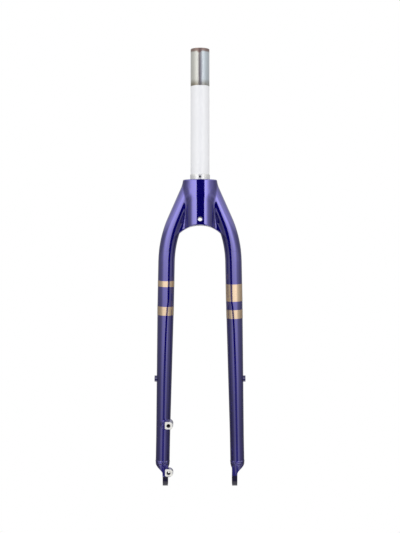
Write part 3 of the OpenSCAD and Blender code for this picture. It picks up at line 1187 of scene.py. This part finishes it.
@dataclass(frozen=True)
class Screen:
    """A round screen about the fork, whose glow the gloss mirrors and the camera doesn't see.

    Sizes are in metres and angles in degrees. A turn is to the right of the camera's side, and a
    tilt is up from the fork. The glow at each turn has a row for low, level and high tilts, and
    is scaled by a share that depends on the tilt alone.
    """

    radius: float = 2.4
    half_height: float = 2.4
    peak: float = 2.6
    turns: Row = (-180.0, -160.0, -140.0, -90.0, -72.0, -63.0, -57.0, -50.0, -44.0, -30.0, 0.0,
                  25.0, 35.0, 42.0, 47.0, 57.0, 70.0, 90.0, 140.0, 160.0, 180.0)
    low_row: Row = (0.26, 0.18, 0.13, 0.20, 0.27, 0.31, 0.37, 0.50, 0.66, 0.86, 0.95,
                    1.0, 0.86, 0.70, 0.54, 0.38, 0.34, 0.20, 0.13, 0.18, 0.26)
    level_row: Row = (0.26, 0.18, 0.12, 0.13, 0.19, 0.24, 0.36, 0.56, 0.70, 0.80, 0.9,
                      1.0, 0.80, 0.58, 0.40, 0.25, 0.20, 0.13, 0.12, 0.18, 0.26)
    high_row: Row = (0.25, 0.24, 0.24, 0.33, 0.44, 0.50, 0.54, 0.56, 0.58, 0.56, 0.54,
                     0.60, 0.60, 0.56, 0.54, 0.50, 0.40, 0.32, 0.24, 0.24, 0.25)
    row_tilts: Row = (-5.0, 0.0, 9.0, 14.0)
    row_places: Row = (0.0, 1.0, 1.0, 2.0)
    tilts: Row = (-45.0, -30.0, -25.0, -21.0, -16.0, -11.0, 4.0, 30.0, 45.0)
    shares: Row = (0.2, 0.22, 0.27, 0.38, 0.43, 0.55, 1.0, 1.0, 0.8)
    rings: int = 36

    def glow(self, place: Vector) -> float:
        """Finds the screen's radiance at a place on it.

        Args:
            place: The place.

        Returns:
            The radiance.
        """
        turn = math.degrees(math.atan2(place.x, -place.y))
        tilt = math.degrees(math.atan2(place.z, self.radius))
        levels = [np.interp(turn, self.turns, row)
                  for row in (self.low_row, self.level_row, self.high_row)]
        row = np.interp(tilt, self.row_tilts, self.row_places)
        return float(self.peak * np.interp(row, range(len(levels)), levels)
                     * np.interp(tilt, self.tilts, self.shares))

    def build(self) -> None:
        """Makes the screen."""
        form = bmesh.new()
        bmesh.ops.create_circle(form, cap_ends=False, segments=96, radius=self.radius)
        bmesh.ops.translate(form, vec=(0.0, 0.0, -self.half_height), verts=form.verts[:])
        edge = form.edges[:]
        for _ in range(self.rings):
            grown = bmesh.ops.extrude_edge_only(form, edges=edge)
            edge = new_parts(grown, BMEdge)
            bmesh.ops.translate(form, vec=(0.0, 0.0, 2.0 * self.half_height / self.rings),
                                verts=new_parts(grown, BMVert))
        screen = piece_from("screen", form)
        light_up(screen, [(self.glow(vert.co),) * 3 for vert in screen.data.vertices])


class CardRow(NamedTuple):
    """A level line of the folded card, in metres from the steerer's axis, and its glow."""

    away: float
    height: float
    left: float
    right: float
    glow: float


@dataclass(frozen=True)
class FoldedCard:
    """A dark card before the camera's side of the fork, folded along level lines.

    The gloss mirrors it as a dark stripe down the crown and blades.
    """

    rows: tuple[CardRow, ...] = (
        CardRow(0.085, 0.215, 0.0265, 0.036, 0.0), CardRow(0.085, -0.098, 0.0255, 0.035, 0.0),
        CardRow(0.052, -0.122, 0.026, 0.026, 0.0), CardRow(0.047, -0.200, 0.026, 0.026, 0.0),
        CardRow(0.150, -0.262, 0.045, 0.045, 0.0), CardRow(0.286, -0.341, 0.080, 0.080, 0.0),
        CardRow(0.630, -0.500, 0.190, 0.190, 0.08), CardRow(0.900, -0.620, 0.280, 0.280, 0.11),
        CardRow(0.900, -1.140, 0.280, 0.280, 0.12))
    colour: Tone = Tone.CARD_BLUE

    def build(self) -> None:
        """Makes the card."""
        form = bmesh.new()
        top = self.rows[0]
        ends = [form.verts.new((x, -top.away, top.height)) for x in (-top.left, top.right)]
        edge = [form.edges.new(ends)]
        for row in self.rows[1:]:
            grown = bmesh.ops.extrude_edge_only(form, edges=edge)
            edge = new_parts(grown, BMEdge)
            for vert in new_parts(grown, BMVert):
                vert.co = Vector((row.right if vert.co.x > 0.0 else -row.left, -row.away,
                                  row.height))
        card = piece_from("folded_card", form)
        heights = [row.height for row in reversed(self.rows)]
        glows = [row.glow for row in reversed(self.rows)]
        light_up(card, [tuple(part + float(np.interp(vert.co.z, heights, glows))
                              for part in self.colour.value) for vert in card.data.vertices])


def light_up(card: Object, glow: list[Point]) -> None:
    """Makes a card glow as a part of the studio that only glossy surfaces see.

    Args:
        card: The card.
        glow: Its radiance at each of its corners.
    """
    shade = card.data.color_attributes.new("glow", "FLOAT_COLOR", "POINT")
    for corner, value in zip(shade.data, glow):
        corner.color = (*value, 1.0)
    graph = Surface(card.name + "_glow")
    read = graph.node(NodeKind.ATTRIBUTE, {}, "Color", attribute_name="glow")
    graph.show(graph.node(NodeKind.EMISSION, {"Color": read}))
    card.data.materials.append(graph.material)
    for ray in ("camera", "diffuse", "transmission", "shadow"):
        setattr(card, f"visible_{ray}", False)


@dataclass
class Studio:
    """White studio: floor, surroundings, lamps, cards and the camera behind the fork.

    Sizes are in metres. The floor glows white in the distance, and half as much near the fork,
    where it is also lit. The ambient light is what falls on the fork from all round.
    """

    camera_distance: float = 1.68
    camera_height: float = -0.1316
    sensor: float = 36.0
    lens: float = 1105.0 / 533.0 * 36.0
    lamp_azimuth: float = 40.0
    floor_z: float = -1.15
    floor_reach: float = 12.0
    floor_fade: Span = (2.4, 1.45)
    floor_glow: float = 0.5
    ambient: float = 0.80

    def build(self) -> None:
        """Makes everything that isn't the fork."""
        self.build_camera()
        self.build_floor()
        self.build_world()
        Panel("left_lamp", -self.lamp_azimuth).build()
        Panel("right_lamp", self.lamp_azimuth).build()
        Screen().build()
        FoldedCard().build()
        LOG.info("studio is set")

    def build_camera(self) -> None:
        """Puts the camera level behind the fork."""
        data = bpy.data.cameras.new("camera")
        data.sensor_width = self.sensor
        data.lens = self.lens
        camera = bpy.data.objects.new("camera", data)
        camera.location = (0.0, -self.camera_distance, self.camera_height)
        camera.rotation_euler = (math.pi / 2.0, 0.0, 0.0)
        bpy.context.scene.collection.objects.link(camera)
        bpy.context.scene.camera = camera
        bpy.context.scene.view_settings.view_transform = "Standard"

    def build_floor(self) -> None:
        """Lays the pale floor below the view."""
        form = bmesh.new()
        bmesh.ops.create_grid(form, x_segments=1, y_segments=1, size=self.floor_reach)
        bmesh.ops.translate(form, vec=(0.0, 0.0, self.floor_z), verts=form.verts[:])
        floor = piece_from("floor", form)
        graph = Surface("pale_floor")
        near = graph.step(graph.vector("LENGTH", graph.place()), *self.floor_fade)
        seen = graph.product(graph.seen(), graph.blend(near, 1.0, self.floor_glow))
        matt = graph.node(NodeKind.DIFFUSE, {"Color": Tone.FLOOR})
        glow = graph.node(NodeKind.EMISSION, {"Color": Tone.WHITE})
        graph.show(graph.node(NodeKind.BLEND, {0: seen, 1: matt, 2: glow}))
        floor.data.materials.append(graph.material)
        floor.visible_glossy = False

    def build_world(self) -> None:
        """Makes the surroundings white where they are seen, and a soft fill elsewhere."""
        world = bpy.data.worlds.new("studio")
        bpy.context.scene.world = world
        world.use_nodes = True
        graph = Graph(world.node_tree)
        background = graph.tree.nodes["Background"]
        graph.feed(background.inputs["Color"], Tone.WHITE)
        graph.feed(background.inputs["Strength"], graph.blend(graph.seen(), self.ambient, 1.0))


def main() -> None:
    """Builds the studio and the fork, piece by piece."""
    logging.basicConfig(level=logging.INFO, format="%(name)s: %(message)s")
    dresser = Dresser()
    Studio().build()
    for assembly in (Steerer(dresser), CrownAndBlades(dresser), ForkEnds(dresser),
                     SideFittings(dresser)):
        assembly.build()
        LOG.info("%s is built", type(assembly).__name__)


if __name__ == "__main__":
    main()
